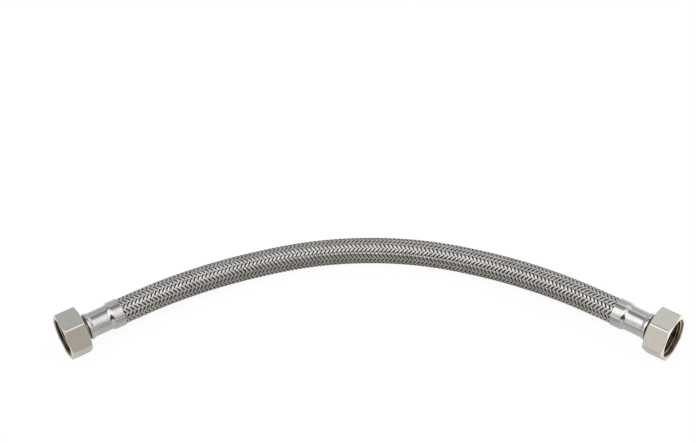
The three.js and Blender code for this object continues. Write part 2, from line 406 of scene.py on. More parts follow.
# %% [markdown]
# ## The woven sleeve
#
# Fourteen strands wind one way round the hose and fourteen the other way, and each passes over two
# of the others and then under two. A strand is a flat ribbon of five wires side by side. The braid
# was also twisted a little, so its pattern drifts slowly round the hose.
#
# A bump map would leave the outline smooth and the gaps without shadow, so every strand is real
# geometry, made by Geometry Nodes from one rule. It starts as an upright cylinder, whose height
# says how far along the hose a point is and whose angle says which point of the ribbon's section.
# The rule then wraps that point round the route. The rubber tube follows the same route and is
# squeezed at the same places, so these helpers serve both.

# %% Trees that follow the hose
NECK_END = (26.8 - HOSE_END_U) * MM
NECK_BLEND = 1.8 * MM


def make_wrap():
    """Turns distance along, angle round and radius into a place on the hose."""
    inputs = [("Route", "Geometry"), ("Distance", "Float", 0.0), ("Angle", "Float", 0.0)]
    inputs += [("Radius", "Float", 7 * MM)]
    tree, given, result = new_tree(
        "wrap_round_hose", "GeometryNodeTree", inputs, [("Position", "Vector")]
    )
    curve = {"Curves": given["Route"], "Length": given["Distance"]}
    sample = add_node(tree, "GeometryNodeSampleCurve", curve, mode="LENGTH", use_all_curves=True)
    tangent = sample.outputs["Tangent"]
    level = vector_math(tree, "CROSS_PRODUCT", tangent, (0.0, 0.0, 1.0))
    front = vector_math(tree, "NORMALIZE", level)
    top = vector_math(tree, "CROSS_PRODUCT", front, tangent)
    forward, upward = (
        vector_math(tree, "SCALE", way, Scale=given["Radius"] * given["Angle"].math(part))
        for way, part in ((front, "COSINE"), (top, "SINE"))
    )
    offset = vector_math(tree, "ADD", forward, upward)
    fill(result["Position"], vector_math(tree, "ADD", sample.outputs["Position"], offset))
    return tree


def route_and_length(tree, geometry):
    """The route as a curve, and the curve's length."""
    route = new_signal(tree, "GeometryNodeMeshToCurve", {0: geometry})
    return route, new_signal(tree, "GeometryNodeCurveLength", {0: route})


def blank_cylinder(tree, sides, rows, caps):
    """An upright cylinder to be bent. Hands back it, its height from 0 to 1, and its angle."""
    inputs = {"Vertices": sides, "Side Segments": rows, "Radius": 1.0, "Depth": 1.0}
    blank = new_signal(tree, "GeometryNodeMeshCylinder", inputs, fill_type=caps)
    x, y, z = split(tree, new_signal(tree, "GeometryNodeInputPosition"))
    return blank, z + 0.5, y.math("ARCTAN2", x)


def squeezed(along, length, neck, full):
    """The neck's radius inside both ferrules, and the full one between them."""
    to_end = along.math("MINIMUM", length - along)
    return to_end.between(NECK_END, NECK_END + NECK_BLEND, neck, full)


def move_to(tree, geometry, place):
    """Moves each point of the geometry to its place."""
    return new_signal(tree, "GeometryNodeSetPosition", {"Geometry": geometry, "Position": place})


def end_tree(tree, geometry, finish, result):
    """Ends a tree: real geometry that wears its finish."""
    whole = new_signal(tree, "GeometryNodeRealizeInstances", {0: geometry})
    inputs = {"Geometry": whole, "Material": finish}
    fill(result["Geometry"], new_signal(tree, "GeometryNodeSetMaterial", inputs))


wrap_round_hose = make_wrap()
print(wrap_round_hose.name, "has", len(wrap_round_hose.nodes), "nodes")

# %% [markdown]
# The over and under comes from counting. The strand's own number, plus the count of the crossing
# strands that it has passed, says whether it is up or down. A cosine gives the wave, and a
# hyperbolic tangent makes its tops a little flatter, as tight wire is.
#
# The points of a strand's section are numbered round it: two for each wire and one more along the
# top, and three along the back. Every second one on top is a wire's ridge.

# %% Sizes of the weave
STRANDS_EACH_WAY = 14
WIRES = 5
STRAND_POINTS = 2 * WIRES + 4
STRAND_ROWS = 840
BACK_WIDTH = 0.8
EDGE_FROM = 0.95

weave_sizes = {
    "Pitch": 32.2 * MM,
    "Middle Radius": 6.8 * MM,
    "Neck Radius": 5.74 * MM,
    "Wave": 0.24 * MM,
    "Flatness": 1.3,
    "Strand Width": 1.46 * MM,
    "Thickness": 0.26 * MM,
    "Wire Relief": 0.022 * MM,
    "Crown": 0.24 * MM,
    "Turn": math.radians(42.2),
    "Twist": math.radians(-0.121) / MM,
}
helix_angle = math.atan(2 * math.pi * weave_sizes["Middle Radius"] / weave_sizes["Pitch"])
print("strands lie at", round(math.degrees(helix_angle), 1), "degrees to the hose")

# %% Tree that weaves the strands
def store(tree, geometry, name, value, data_type, domain):
    """Writes a named attribute on the geometry."""
    inputs = {"Geometry": geometry, "Name": name, "Value": value}
    kind = "GeometryNodeStoreNamedAttribute"
    return new_signal(tree, kind, inputs, data_type=data_type, domain=domain)


def numbered_strands(tree, blank, value):
    """One blank for each strand, with the strand's number written on it."""
    line = {"Count": value["Strand Count"], "Offset": (0.0, 0.0, 0.0)}
    seats = new_signal(tree, "GeometryNodeMeshLine", line)
    placed = new_signal(tree, "GeometryNodeInstanceOnPoints", {"Points": seats, "Instance": blank})
    number = new_signal(tree, "GeometryNodeInputIndex") * value["Strand Step"] + value["First Strand"]
    numbered = store(tree, placed, "strand", number, "FLOAT", "INSTANCE")
    joined = new_signal(tree, "GeometryNodeRealizeInstances", {0: numbered})
    kind = "GeometryNodeInputNamedAttribute"
    return joined, new_signal(tree, kind, {"Name": "strand"}, data_type="FLOAT")


def make_weave():
    tree, value, result = new_tree(
        "weave_strands",
        "GeometryNodeTree",
        [("Geometry", "Geometry"), ("Way", "Float", 1.0), ("First Strand", "Int", 0)]
        + [("Strand Step", "Int", 2), ("Strand Count", "Int", 7), ("Rows", "Int", STRAND_ROWS)]
        + [(name, "Float", size) for name, size in weave_sizes.items()]
        + [("Finish", "Material")],
        [("Geometry", "Geometry")],
    )
    route, length = route_and_length(tree, value["Geometry"])
    blank, height, angle = blank_cylinder(tree, STRAND_POINTS, value["Rows"], "NGON")
    joined, strand = numbered_strands(tree, blank, value)

    # The blank's height and angle become the distance along and the point of the section
    along = height * length
    point = (angle / (2 * math.pi) * STRAND_POINTS).math("ROUND")
    point = point.math("FLOORED_MODULO", STRAND_POINTS)
    on_top = point.math("LESS_THAN", 2 * WIRES + 0.5)
    under = 1.0 - on_top
    top_across = (point - WIRES) / WIRES * on_top
    across = (2 * WIRES + 2.0 - point) * BACK_WIDTH * under + top_across

    # Where the point lies round the hose, and how many crossing strands it has passed
    turning = 2 * math.pi / value["Pitch"]
    wound = along * turning * value["Way"]
    centre = strand * (2 * math.pi / STRANDS_EACH_WAY) + wound
    slope = value["Middle Radius"] * turning
    slant = (slope * slope + 1.0).math("SQRT")
    half_angle = value["Strand Width"] * 0.5 / value["Middle Radius"] * slant
    angle = centre - across * half_angle
    count = (angle + wound) * (STRANDS_EACH_WAY / (2 * math.pi)) + strand - 0.5
    wave = (count * (math.pi / 2)).math("COSINE")
    flat_wave = (wave * value["Flatness"]).math("TANH") / value["Flatness"].math("TANH")
    lift = flat_wave * value["Way"]

    # Height of the section: round wires on top, a plain back, and both edges bent down
    wires = (point.math("FLOORED_MODULO", 2.0) * 2.0 - 1.0) * value["Wire Relief"]
    half = value["Thickness"] * 0.5
    edge = across.math("ABSOLUTE").math("GREATER_THAN", EDGE_FROM)
    wall = (half + wires) * (1.0 - edge) * on_top - half * under
    height = wall - across * across * value["Crown"]

    # The sleeve is squeezed to the neck's radius inside both ferrules
    middle = squeezed(along, length, value["Neck Radius"], value["Middle Radius"])
    radius = lift * value["Wave"] + middle + height
    turned = (along - length * 0.5) * value["Twist"] + value["Turn"]
    around = {"Angle": angle + turned, "Radius": radius}
    place = place_group(tree, wrap_round_hose, Route=route, Distance=along, **around)
    noted = store(tree, joined, "weave", join(tree, across, along, lift), "FLOAT_VECTOR", "POINT")
    end_tree(tree, move_to(tree, noted, place["Position"]), value["Finish"], result)
    return tree


weave_strands = make_weave()
print(weave_strands.name, "has", len(weave_strands.nodes), "nodes")

# %% [markdown]
# ## Four pieces of the sleeve
#
# The route becomes a row of points joined by edges, which carries the tree as a modifier. The
# result is turned into a plain mesh. Fourteen strands in one piece would be a heavy file, so each
# way of winding is split into its even and its odd strands.

# %% Strands
def route_object(name):
    """The route as loose edges, ready to carry a Geometry Nodes modifier."""
    mesh = bpy.data.meshes.new(name)
    edges = [(i, i + 1) for i in range(len(route_points) - 1)]
    mesh.from_pydata([tuple(p) for p in route_points], edges, [])
    return place_object(name, mesh)


def grow(name, tree, **values):
    """Runs a tree on the route and keeps the result as a plain mesh object."""
    made = route_object(name)
    modifier = made.modifiers.new("grow", "NODES")
    modifier.node_group = tree
    for item in tree.interface.items_tree:
        if item.in_out == "INPUT" and item.name in values:
            modifier[item.identifier] = values[item.name]
    bpy.context.view_layer.update()
    graph = bpy.context.evaluated_depsgraph_get()
    mesh = bpy.data.meshes.new_from_object(made.evaluated_get(graph), depsgraph=graph)
    made.modifiers.remove(modifier)
    made.data = mesh
    mesh.name = name
    mesh.shade_smooth()
    print(name, "has", sum(len(face.vertices) - 2 for face in mesh.polygons), "triangles")
    return made


strand_sets = []
for way, way_name in ((1.0, "right"), (-1.0, "left")):
    for first, first_name in ((0, "even"), (1, "odd")):
        values = {"Way": way, "First Strand": first, "Finish": braid_wire}
        strand_sets.append(grow(f"strands_{way_name}_{first_name}", weave_strands, **values))

# %% [markdown]
# ## Finish of the rubber
#
# The tube inside is extruded and the washers are stamped from sheet, both of black rubber. It is
# nearly matt, with a faint bloom and a fine grain.

# %% Rubber materials
def make_rubber(name, colour, roughness, bloom, grain, shades, bump, turned):
    """bloom is its size and contrast, grain a size, shades two colours, bump strength and depth."""
    material, tree, shader = new_material(name, colour, 0.0, roughness + 0.1)
    place = read_attribute(tree, "from_axis") if turned else object_place(tree)
    bloom = place_group(tree, clouding, Vector=place, Size=bloom[0], Contrast=bloom[1])
    grain = place_group(tree, fine_grain, Vector=place, Size=grain)
    fill(shader["Base Color"], mix_colour(tree, bloom["Mask"], *shades))
    fill(shader["Roughness"], grain["Mask"] * 0.2 + roughness)
    add_bump(tree, shader, grain["Height"], *bump)
    return material


tube_shades = (0.016, 0.015, 0.015), (0.032, 0.030, 0.028)
liner_rubber = make_rubber(
    "liner_rubber", (0.02, 0.019, 0.018), 0.45, (3 * MM, 0.5), 0.3 * MM, tube_shades, (0.3, 0.03 * MM), False
)
sheet_shades = (0.022, 0.021, 0.020), (0.045, 0.041, 0.037)
gasket_rubber = make_rubber(
    "gasket_rubber", (0.03, 0.028, 0.026), 0.5, (2 * MM, 0.7), 0.25 * MM, sheet_shades, (0.5, 0.04 * MM), True
)
print(liner_rubber.name, "and", gasket_rubber.name, "made")

# %% [markdown]
# ## The rubber tube
#
# The tube starts as a cylinder without caps, whose rows run up the outside of the tube and back
# down the inside. The last row falls on the first, and merging the two closes the wall.

# %% Tree for the liner
LINER_SIDES = 48
LINER_STEPS = 130
MERGE_DISTANCE = 0.01 * MM
liner_sizes = {"Outer Radius": 6.32, "Bore Radius": 5.0, "Outer Neck": 5.25, "Bore Neck": 4.7}


def make_liner_tree():
    tree, value, result = new_tree(
        "liner_tube",
        "GeometryNodeTree",
        [("Geometry", "Geometry")]
        + [(name, "Float", size * MM) for name, size in liner_sizes.items()]
        + [("Steps", "Int", LINER_STEPS), ("Finish", "Material")],
        [("Geometry", "Geometry")],
    )
    route, length = route_and_length(tree, value["Geometry"])
    steps = value["Steps"]
    rows = steps * 2.0 + 2.0
    blank, height, angle = blank_cylinder(tree, LINER_SIDES, rows, "NONE")

    # Rows count up the outside and down the inside, and the last one is the first again
    row = (height * rows).math("ROUND")
    closing = row.math("GREATER_THAN", rows - 0.5)
    inside = row.math("GREATER_THAN", steps + 0.5) - closing
    step = row.math("MINIMUM", rows - 1.0 - row).math("MINIMUM", steps).math("MAXIMUM", 0.0)
    along = step / steps * length

    outer = squeezed(along, length, value["Outer Neck"], value["Outer Radius"])
    bore = squeezed(along, length, value["Bore Neck"], value["Bore Radius"])
    around = {"Angle": angle * -1.0, "Radius": outer + (bore - outer) * inside}
    place = place_group(tree, wrap_round_hose, Route=route, Distance=along, **around)
    inputs = {"Geometry": move_to(tree, blank, place["Position"]), "Distance": MERGE_DISTANCE}
    closed = new_signal(tree, "GeometryNodeMergeByDistance", inputs)
    end_tree(tree, closed, value["Finish"], result)
    return tree


liner = grow("liner", make_liner_tree(), Finish=liner_rubber)

# %% [markdown]
# ## Turned pieces
#
# A nipple, a ferrule and a washer are all made round one axis. Each is written as the outline of
# its wall, in radius and distance from the nut's open face, and swept once round. It is the small
# rounded edge that catches the light, so every corner can be given a radius. A point just beside
# each rounded corner keeps the flat face flat when it is shaded smooth. The sweep also writes each
# point's place measured from the fitting's axis, for the machining rings.

# %% Outline with rounded corners
LONGEST_CUT, GUARD_FROM, GUARD_SHARES = 0.45, 5, (0.5, 0.04)


def rounded(corners, steps=3, all_guarded=False):
    """corners holds (radius, u, rounding) of a closed outline. Hands back its points."""
    points = []
    for i, (r, u, rounding) in enumerate(corners):
        here = Vector((r, u))
        if rounding <= 0:
            points.append(tuple(here))
            continue
        before, after = (Vector(corners[k % len(corners)][:2]) - here for k in (i - 1, i + 1))
        cut = min(rounding / math.tan(before.angle(after) / 2), LONGEST_CUT * before.length)
        cut = min(cut, LONGEST_CUT * after.length)
        start, end = (here + side.normalized() * cut for side in (before, after))
        shares = [step / steps for step in range(steps + 1)]
        bend = [start.lerp(here, t).lerp(here.lerp(end, t), t) for t in shares]
        for side, place, spot in ((before, start, 0), (after, end, steps + 2)):
            if all_guarded or side.length > GUARD_FROM * cut:
                gap = min(GUARD_SHARES[0] * cut, GUARD_SHARES[1] * side.length)
                bend.insert(spot, place + side.normalized() * gap)
        points += [tuple(point) for point in bend]
    return points


def soft_step(start, end, steps=10):
    """The inner points of a soft step in a pressed wall, level at both ends."""
    (r0, u0), (r1, u1) = start, end
    found = []
    for step in range(1, steps):
        t = step / steps
        blend = 3 * t * t - 2 * t * t * t
        spread = 1.5 * t * (1 - t)
        found.append((r0 + (r1 - r0) * blend, u0 + (u1 - u0) * (t ** 3 + spread), 0))
    return found


right_angle = rounded([(1, 0, 0.2), (2, 0, 0), (1, 1, 0)])
print("a right angle rounded:", [[round(c, 2) for c in p] for p in right_angle[:4]])

# %% Mesh from rings of points
def signed_volume(vertices, quads):
    """The volume inside closed faces. It is negative when they are inside out."""
    a, b, c, d = (vertices[quads[:, k]] for k in range(4))
    halves = ((a, b, c), (a, c, d))
    return sum(np.einsum("ij,ij->i", p, np.cross(q, r)).sum() for p, q, r in halves) / 6


def mesh_from_rings(name, rings, side, material):
    """rings is (rows, columns, 3) in millimetres from the fitting's own axis, closed both ways."""
    rows, columns = rings.shape[:2]
    row, column = np.meshgrid(np.arange(rows), np.arange(columns), indexing="ij")
    next_row, next_column = (row + 1) % rows, (column + 1) % columns
    corners = [(row, column), (next_row, column), (next_row, next_column), (row, next_column)]
    quads = np.stack([(r * columns + c).ravel() for r, c in corners], 1)
    local = rings.reshape(-1, 3)
    if signed_volume(local, quads) < 0:
        quads = quads[:, ::-1]
    place = Matrix.Translation((side * FACE_X, FACE_Y, AXIS_HEIGHT))
    place = place @ Matrix.Rotation(side * (math.pi / 2 - END_ANGLE), 4, "Z")
    world = (local @ np.array(place.to_3x3()).T + np.array(place.translation)) * MM
    mesh = bpy.data.meshes.new(name)
    mesh.from_pydata(world.tolist(), [], quads.tolist())
    note = mesh.attributes.new("from_axis", "FLOAT_VECTOR", "POINT")
    note.data.foreach_set("vector", (local * MM).astype(np.float32).ravel())
    mesh.shade_smooth()
    mesh.materials.append(material)
    print(name, "has", 2 * len(quads), "triangles")
    return place_object(name, mesh)


def sweep(name, outline, side, material, columns=128):
    """Sweeps a closed outline of (radius, u) points round the fitting's axis."""
    angles = np.linspace(0, 2 * math.pi, columns, endpoint=False)
    outline = np.array(outline)
    rings = np.empty((len(outline), columns, 3))
    rings[:, :, 0] = outline[:, :1] * np.cos(angles)
    rings[:, :, 1] = outline[:, 1:]
    rings[:, :, 2] = outline[:, :1] * np.sin(angles)
    return mesh_from_rings(name, rings, side, material)


print("sweep ready")

# %% [markdown]
# ## Finish of the ferrules
#
# A ferrule is pressed from thin stainless sheet and left bright. It is nearly a mirror, a little
# clouded, with fine marks from the tool round it and faint streaks along it.

# %% Ferrule steel material
def make_ferrule_steel():
    material, tree, shader = new_material("ferrule_steel", (0.62, 0.62, 0.615), 1.0, 0.14)
    place = read_attribute(tree, "from_axis")
    cloud = place_group(tree, clouding, Vector=place, Size=4 * MM, Contrast=0.5)
    rings = place_group(tree, machining_rings, Place=place, Spacing=0.25 * MM)
    streaks = place_group(tree, fine_grain, Vector=place, Size=0.6 * MM, Stretch=(1.0, 0.08, 1.0))
    bright = mix_colour(tree, cloud["Mask"], (0.60, 0.60, 0.595), (0.68, 0.68, 0.67))
    fill(shader["Base Color"], bright)
    fill(shader["Roughness"], cloud["Mask"] * 0.03 + 0.06 + streaks["Mask"] * 0.03)
    add_bump(tree, shader, rings["Height"] + streaks["Height"] * 1.5, 0.05, 0.01 * MM)
    return material


ferrule_steel = make_ferrule_steel()
print(ferrule_steel.name, "made")

# %% [markdown]
# ## The ferrules
#
# A press hooks the front edge of a plain cup behind the nipple, then squeezes the long neck on to
# the hose and the barbed stem, and leaves a wider collar at the mouth. So the wall is the same
# thickness nearly all along, and its steps are soft. The collar's shoulder is softest outside.

# %% Ferrules
FERRULE_FRONT, FLARE_END, NECK_START = 14.2, 15.4, 17.2
SHOULDER_START, SHOULDER_END, MOUTH = 26.8, 28.6, 34.6
EASE = 0.5
HOOK_RADIUS, FLARE_RADIUS, NECK_RADIUS, COLLAR_RADIUS, WALL = 5.9, 7.4, 6.85, 7.7, 0.5


def ferrule_outline():
    low, high = (NECK_RADIUS, SHOULDER_START - EASE), (COLLAR_RADIUS, SHOULDER_END + EASE)
    outer = [(HOOK_RADIUS, FERRULE_FRONT, 0.15), (FLARE_RADIUS, FERRULE_FRONT, 0.5)]
    outer += [(FLARE_RADIUS, FLARE_END, 0)]
    outer += soft_step((FLARE_RADIUS, FLARE_END), (NECK_RADIUS, NECK_START))
    outer += [(NECK_RADIUS, NECK_START, 0), (*low, 0), *soft_step(low, high, 14), (*high, 0)]
    outer += [(COLLAR_RADIUS, MOUTH, 0.22)]
    flare, neck, collar = (r - WALL for r in (FLARE_RADIUS, NECK_RADIUS, COLLAR_RADIUS))
    inner = [(collar, MOUTH, 0.15), (collar, SHOULDER_END, 0)]
    inner += soft_step((collar, SHOULDER_END), (neck, SHOULDER_START))
    inner += [(neck, SHOULDER_START, 0), (neck, NECK_START, 0)]
    inner += soft_step((neck, NECK_START), (flare, FLARE_END))
    inner += [(flare, FLARE_END, 0), (flare, FERRULE_FRONT + WALL, 0.1)]
    inner += [(HOOK_RADIUS, FERRULE_FRONT + WALL, 0.1)]
    return rounded(outer + inner, steps=5)


ferrules = {
    end: sweep(f"ferrule_{end}_pressed", ferrule_outline(), side, ferrule_steel)
    for end, side in ENDS.items()
}

# %% [markdown]
# ## Finish of the nipples
#
# The nipple is turned from brass bar and never plated. It shows fine rings from the lathe and the
# dull brown gold of brass that has been handled.

# %% Nipple brass material
def make_nipple_brass():
    material, tree, shader = new_material("nipple_brass", (0.62, 0.47, 0.25), 1.0, 0.3)
    place = read_attribute(tree, "from_axis")
    tarnish = place_group(tree, clouding, Vector=place, Size=3 * MM, Contrast=0.6)
    rings = place_group(tree, machining_rings, Place=place, Spacing=0.15 * MM)
    colour = mix_colour(tree, tarnish["Mask"], (0.42, 0.36, 0.27), (0.25, 0.20, 0.14))
    fill(shader["Base Color"], colour)
    fill(shader["Roughness"], tarnish["Mask"] * 0.15 + 0.24)
    add_bump(tree, shader, rings["Height"], 0.35, 0.02 * MM)
    return material


nipple_brass = make_nipple_brass()
print(nipple_brass.name, "made")

# %% [markdown]
# ## The nipples
#
# From the front: the flange that the washer seals on and the nut's lip pulls on, the neck that the
# nut turns on, a thin collar that shows behind the nut, the groove that the ferrule is hooked into,
# the stop for the hose's end, and the stem. Each barb on the stem climbs slowly and drops sharply,
# so the hose slides on and doesn't slide off.

# %% Nipples
WATER_WAY, NECK, FLANGE, RING, STOP, STEM, BARB = 3.7, 5.6, 9.015, 6.7, 6.5, 4.05, 4.4
FLANGE_U, RING_U, STOP_U = (7.2, 9.0), (13.2, 13.9), (15.0, 15.9)
STEM_END, BARBS, BARB_DROP = 33.6, 4, 0.02


def nipple_outline():
    (front, back), (ring, ring_end), (stop, stop_end) = FLANGE_U, RING_U, STOP_U
    outline = [(WATER_WAY, front, 0.3), (FLANGE, front, 0.2), (FLANGE, back, 0.12), (NECK, back, 0.15)]
    outline += [(NECK, ring, 0.1), (RING, ring, 0.12), (RING, ring_end, 0.12), (NECK, ring_end, 0.08)]
    outline += [(NECK, stop, 0.08), (STOP, stop, 0.1), (STOP, stop_end, 0.1), (STEM, stop_end, 0.08)]
    pitch = (STEM_END - HOSE_END_U) / BARBS
    for barb in range(BARBS):
        start = HOSE_END_U + barb * pitch
        outline += [(STEM, start, 0), (BARB, start + BARB_DROP, 0.06), (STEM, start + pitch - BARB_DROP, 0)]
    return rounded(outline + [(WATER_WAY, STEM_END, 0.1)])


nipples = {
    end: sweep(f"nipple_{end}_turned", nipple_outline(), side, nipple_brass, columns=96)
    for end, side in ENDS.items()
}

# %% [markdown]
# ## The washers
#
# A washer is a plain ring whose edges are a little soft. It lies in the nut against the nipple's
# flange.

# %% Washers
WASHER_HOLE, WASHER_FRONT, WASHER_BACK = 5.2, 4.9, 6.9
gasket_outline = rounded(
    [(WASHER_HOLE, WASHER_FRONT, 0.12), (FLANGE, WASHER_FRONT, 0.2)]
    + [(FLANGE, WASHER_BACK, 0.2), (WASHER_HOLE, WASHER_BACK, 0.12)],
    steps=4,
)
gaskets = {
    end: sweep(f"gasket_{end}_stamped", gasket_outline, side, gasket_rubber, columns=96)
    for end, side in ENDS.items()
}

# %% [markdown]
# ## Finish of the nuts
#
# The nut is hexagonal brass bar plated with satin nickel, slightly warm next to the steel. Its
# flats are faintly cloudy, and the bore shows rings from the lathe. The bore is coloured a dark
# brass that is partly painted shade. The lead-in cone at the mouth is nearly black as painted
# shade, and the first crests of the thread get a brighter colour as a painted highlight. A mask
# from the radius tells inside from outside.

# %% Nut plating material
def make_nut_plating():
    material, tree, shader = new_material("nut_plating", (0.66, 0.63, 0.59), 1.0, 0.3)
    place = read_attribute(tree, "from_axis")
    radius, u = radius_and_u(tree, place)
    cloud = place_group(tree, clouding, Vector=place, Size=5 * MM, Contrast=0.3)
    grain = place_group(tree, fine_grain, Vector=place, Size=0.6 * MM, Stretch=(1.0, 0.3, 1.0))
    rings = place_group(tree, machining_rings, Place=place, Spacing=0.18 * MM)

    # The bore with painted shade, its first crests with a painted highlight, and the lead-in cone with
    # painted shade
    inside = radius.between(10.9 * MM, 11.1 * MM, 1.0, 0.0) * u.between(0.2 * MM, 0.6 * MM)
    crest_highlight = radius.between(9.5 * MM, 10.0 * MM, 1.0, 0.0) * inside
    crest_highlight = crest_highlight * u.between(1.8 * MM, 3.0 * MM, 1.0, 0.0)
    lead_in_shade = u.between(1.7 * MM, 2.4 * MM, 1.0, 0.0)

    plated = mix_colour(tree, cloud["Mask"], (0.685, 0.668, 0.624), (0.72, 0.703, 0.659))
    # Painted shade: dark brass in the bore, nearly black in the lead-in cone; painted highlight on the crests
    bore_brass_and_shade = mix_colour(tree, cloud["Mask"], (0.17, 0.12, 0.07), (0.32, 0.23, 0.13))
    bore_brass_and_shade = mix_colour(tree, lead_in_shade, bore_brass_and_shade, (0.10, 0.077, 0.055))
    bore_brass_and_shade = mix_colour(tree, crest_highlight, bore_brass_and_shade, (0.75, 0.71, 0.64))
    fill(shader["Base Color"], mix_colour(tree, inside, plated, bore_brass_and_shade))
    fill(shader["Roughness"], grain["Mask"] * 0.05 + 0.22 + inside * 0.08)
    add_bump(tree, shader, grain["Height"] * 0.25 + rings["Height"] * inside, 0.08, 0.01 * MM)
    return material


nut_plating = make_nut_plating()
print(nut_plating.name, "made")

# %% [markdown]
# ## The nuts
#
# Each column of the nut's mesh is a section cut through its wall at one angle. Outside, the section
# reaches to the hexagon, whose corners are rounded, and both end faces are chamfered by a cone.
# Inside is the half inch pipe thread, 14 turns to the inch and right-handed. At every point the bore
# is as wide as the widest of three cuts: the lead-in cone at the mouth, the thread groove, and the
# run-out groove behind it.

# %% Section of a nut
FLAT_RADIUS, FACE_RADIUS, MOUTH_RADIUS, NUT_LENGTH, LIP_FACE = 12.0, 11.6, 11.2, 12.3, 10.3
CREST_RADIUS, GROOVE_DEPTH, THREAD_PITCH, FLANK = 9.315, 1.1625, 25.4 / 14, 1.45
RUNOUT_RADIUS, RUNOUT_START, LIP_HOLE, LIP_CHAMFER = 10.73, 8.5, 7.0, 0.25
CORNER_ROUNDING = 1.8
CHAMFER = math.tan(math.radians(20))
THREAD_LEVELS = 62


def hexagon_radius(angle):
    """Distance from the axis to the rounded hexagon. A flat faces each multiple of 60 degrees."""
    from_flat = (angle + math.pi / 6) % (math.pi / 3) - math.pi / 6
    from_corner = math.pi / 6 - abs(from_flat)
    middle = (FLAT_RADIUS - CORNER_ROUNDING) / math.cos(math.pi / 6)
    across = middle * math.sin(from_corner)
    if across >= CORNER_ROUNDING * math.sin(math.pi / 6):
        return FLAT_RADIUS / math.cos(from_flat)
    return middle * math.cos(from_corner) + math.sqrt(CORNER_ROUNDING ** 2 - across ** 2)


def bore_radius(u, angle):
    """The widest of the lead-in, the thread and the run-out."""
    turn = (u / THREAD_PITCH + angle / (2 * math.pi)) % 1.0
    ridge = 1 - abs(2 * turn - 1)
    shape = min(max(0.5 + FLANK * (ridge - 0.5), 0.0), 1.0)
    groove = CREST_RADIUS + GROOVE_DEPTH * (0.5 - 0.5 * math.cos(math.pi * shape))
    runout = min(RUNOUT_RADIUS, CREST_RADIUS + max(u - RUNOUT_START + RUNOUT_RADIUS - CREST_RADIUS, 0))
    return max(MOUTH_RADIUS - u, groove, runout)


def nut_section(angle):
    """The closed section of the nut's wall at one angle, as (radius, u) points."""
    reach = hexagon_radius(angle)
    slope = (reach - FACE_RADIUS) * CHAMFER
    outer = [(MOUTH_RADIUS, 0, 0.12), (FACE_RADIUS, 0, 0.3), (reach, slope, 0.3)]
    outer += [(reach, NUT_LENGTH - slope, 0.3), (FACE_RADIUS, NUT_LENGTH, 0.3)]
    outer += [(LIP_HOLE + LIP_CHAMFER, NUT_LENGTH, 0.05), (LIP_HOLE, NUT_LENGTH - LIP_CHAMFER, 0.05)]
    outer += [(LIP_HOLE, LIP_FACE, 0.1), (RUNOUT_RADIUS, LIP_FACE, 0.2), (RUNOUT_RADIUS, RUNOUT_START, 0)]
    levels = np.linspace(RUNOUT_START, 0.0, THREAD_LEVELS)[1:-1]
    return rounded(outer, all_guarded=True) + [(bore_radius(u, angle), u) for u in levels]


corner_radius = round(hexagon_radius(math.pi / 6), 2)
print("section has", len(nut_section(0.0)), "points; a corner is at", corner_radius, "mm")

# %% Nuts
CORNER_HALF = [0.95, 1.9, 2.9, 3.86, 5.2]
FLAT_COLUMNS = 15


def nut_angles():
    """Angles of the columns: even steps over each flat, and close ones round each corner."""
    corner = [-offset for offset in reversed(CORNER_HALF)] + [0.0] + CORNER_HALF
    flat = np.linspace(CORNER_HALF[-1], 60 - CORNER_HALF[-1], FLAT_COLUMNS + 2)[1:-1]
    return [math.radians(60 * side + 30 + offset) for side in range(6) for offset in (*corner, *flat)]


def make_nut(name, side):
    angles = np.array(nut_angles())
    sections = np.array([nut_section(angle) for angle in nut_angles()]).transpose(1, 0, 2)
    radii = sections[:, :, 0]
    rings = np.stack([radii * np.sin(angles), sections[:, :, 1], radii * np.cos(angles)], 2)
    return mesh_from_rings(name, rings, side, nut_plating)


nuts = {end: make_nut(f"nut_{end}_plated", side) for end, side in ENDS.items()}

# %% [markdown]
# ## Which body carries each piece
#
# The hose, both ferrules and both nipples are crimped into one body. A nut turns on its nipple, and
# the washer slides with it. The CAD node that each piece stands for is hidden.

# %% Bodies and the hidden CAD nodes
for piece in [*strand_sets, liner]:
    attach(piece, "hose")
for piece in strand_sets:
    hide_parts("braid_sleeve")
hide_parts("inner_tube")

for end in ENDS:
    for piece, body, node, slot in (
        (ferrules[end], "hose", "ferrule_", "ferrule_steel"),
        (nipples[end], "hose", "nipple_", "nipple_brass"),
        (gaskets[end], "seal_" + end, "gasket_", "gasket_rubber"),
        (nuts[end], "union_nut_" + end, "nut_", "nut_plating"),
    ):
        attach(piece, body)
        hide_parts(node + end)

print("all pieces ride on a body")

# %% [markdown]
# ## The room that the metal mirrors
#
# What is seen in bare metal is the room. So the world is a studio painted by direction. Two ramps
# give its brightness from the front over the top to the back, one for each half, and both are a
# little warm near the floor. Round parts lie over them: a wide lamp in three parts, a bright wall
# and a panel behind, a dark flag at each side, and a low dark opening in front, which leaves the
# brown patch on the ferrules. The camera itself sees plain white.

# %% World
# Degrees over the top from the front, then brightness
ROOM_HALVES = {
    "left": [(0, 0.88), (14, 0.79), (30, 0.70), (42, 0.95), (60, 1.1), (88, 1.15), (94, 0.50)]
    + [(105, 0.48), (108, 0.19), (113, 0.19), (117, 0.47), (126, 0.56), (180, 0.55)],
    "right": [(0, 0.43), (14, 0.46), (30, 0.70), (42, 0.92), (60, 0.95), (88, 0.9), (94, 0.50)]
    + [(105, 0.46), (108, 0.17), (113, 0.17), (117, 0.46), (126, 0.60), (180, 0.62)],
}
WARM_BELOW = 45
WARMTH = {"left": 0.09, "right": 0.14}

